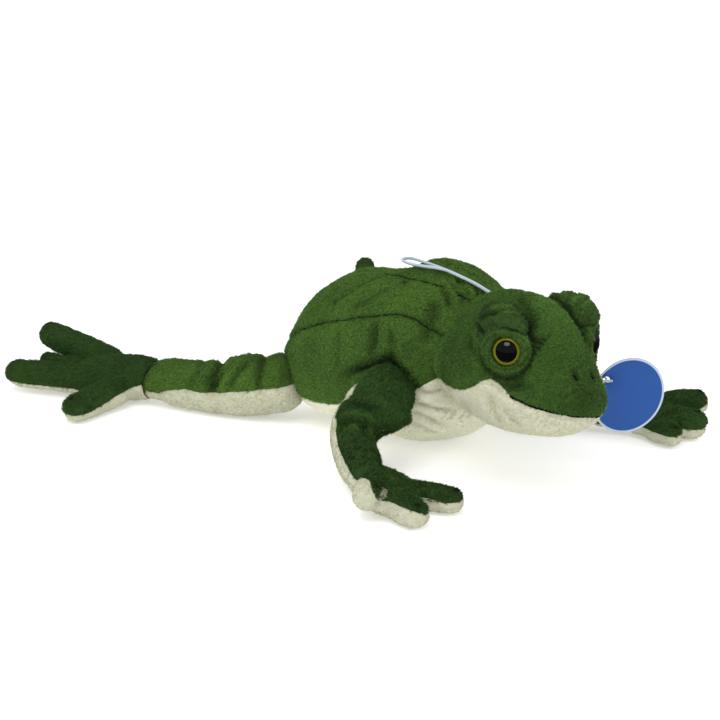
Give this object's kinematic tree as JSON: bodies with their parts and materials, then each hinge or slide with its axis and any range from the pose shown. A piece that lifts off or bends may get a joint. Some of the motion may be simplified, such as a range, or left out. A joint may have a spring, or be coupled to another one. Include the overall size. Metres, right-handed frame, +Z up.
{
  "type": "plush frog",
  "caption": "Stuffed frog toy lying flat on its belly, with turning head, swinging arms, legs, hands and feet, locked plastic eyes, hanging loop and oval swing tag.",
  "frame": {"origin": "middle of the footprint's bounding box, on the surface that the frog lies on", "axes": "+Z up, -Y the way the body faces, +X to the frog's own left"},
  "size_m": [0.3556, 0.4454, 0.1178],
  "materials": {
    "green_pile": "short pile, matt",
    "dark_green_pile": "short pile, matt",
    "cream_pile": "short pile, matt",
    "olive_plastic": "moulded, glossy",
    "black_plastic": "moulded, high gloss",
    "white_plastic": "moulded, satin",
    "white_cord": "braided elastic, matt",
    "blue_card": "coated card, satin",
    "black_thread": "embroidery thread, matt"
  },
  "bodies": {
    "torso": {"body": "green_pile", "belly": "cream_pile", "hang_loop": "white_cord"},
    "head": {"head": "green_pile", "throat": "cream_pile", "brow_left": "dark_green_pile", "brow_right": "dark_green_pile", "eye_pad_left": "dark_green_pile", "eye_pad_right": "dark_green_pile", "iris_left": "olive_plastic", "iris_right": "olive_plastic", "pupil_left": "black_plastic", "pupil_right": "black_plastic", "washer_left": "white_plastic", "washer_right": "white_plastic", "mouth_thread": "black_thread", "nostril_left": "black_thread", "nostril_right": "black_thread", "tag_tie": "white_plastic"},
    "tag": {"swing_tag": "blue_card"},
    "arm_left": {"arm_left": "green_pile"},
    "hand_left": {"hand_left": "dark_green_pile"},
    "leg_left": {"leg_left": "green_pile"},
    "foot_left": {"foot_left": "dark_green_pile"},
    "arm_right": {"arm_right": "green_pile"},
    "hand_right": {"hand_right": "dark_green_pile"},
    "leg_right": {"leg_right": "green_pile"},
    "foot_right": {"foot_right": "dark_green_pile"}
  },
  "joints": [
    {"name": "neck", "type": "hinge", "parent": "torso", "child": "head", "pos_m": [-0.01504, -0.08645, 0.072], "axis": [0, 0, 1], "range_deg": [-6, 14]},
    {"name": "shoulder_right", "type": "hinge", "parent": "torso", "child": "arm_right", "pos_m": [-0.07304, -0.07245, 0.044], "axis": [0, 0, 1], "range_deg": [-7, 12]},
    {"name": "shoulder_left", "type": "hinge", "parent": "torso", "child": "arm_left", "pos_m": [0.03996, -0.07245, 0.044], "axis": [0, 0, 1], "range_deg": [-12, 5]},
    {"name": "wrist_right", "type": "hinge", "parent": "arm_right", "child": "hand_right", "pos_m": [-0.12404, -0.11245, 0.0155], "axis": [0, 0, 1], "range_deg": [-12, 12]},
    {"name": "wrist_left", "type": "hinge", "parent": "arm_left", "child": "hand_left", "pos_m": [0.08496, -0.13045, 0.0155], "axis": [0, 0, 1], "range_deg": [-12, 12]},
    {"name": "hip_right", "type": "hinge", "parent": "torso", "child": "leg_right", "pos_m": [-0.06304, 0.04155, 0.024], "axis": [0, 0, 1], "range_deg": [-15, 15]},
    {"name": "hip_left", "type": "hinge", "parent": "torso", "child": "leg_left", "pos_m": [0.02696, 0.04155, 0.024], "axis": [0, 0, 1], "range_deg": [-15, 15]},
    {"name": "ankle_right", "type": "hinge", "parent": "leg_right", "child": "foot_right", "pos_m": [-0.10204, 0.11655, 0.0155], "axis": [0, 0, 1], "range_deg": [-12, 12]},
    {"name": "ankle_left", "type": "hinge", "parent": "leg_left", "child": "foot_left", "pos_m": [0.07296, 0.11355, 0.0155], "axis": [0, 0, 1], "range_deg": [-6, 12]},
    {"name": "tag_swing", "type": "hinge", "parent": "head", "child": "tag", "pos_m": [0.02743, -0.16542, 0.056], "axis": [0.7431, -0.6691, 0], "range_deg": [-12, 12]}
  ]
}
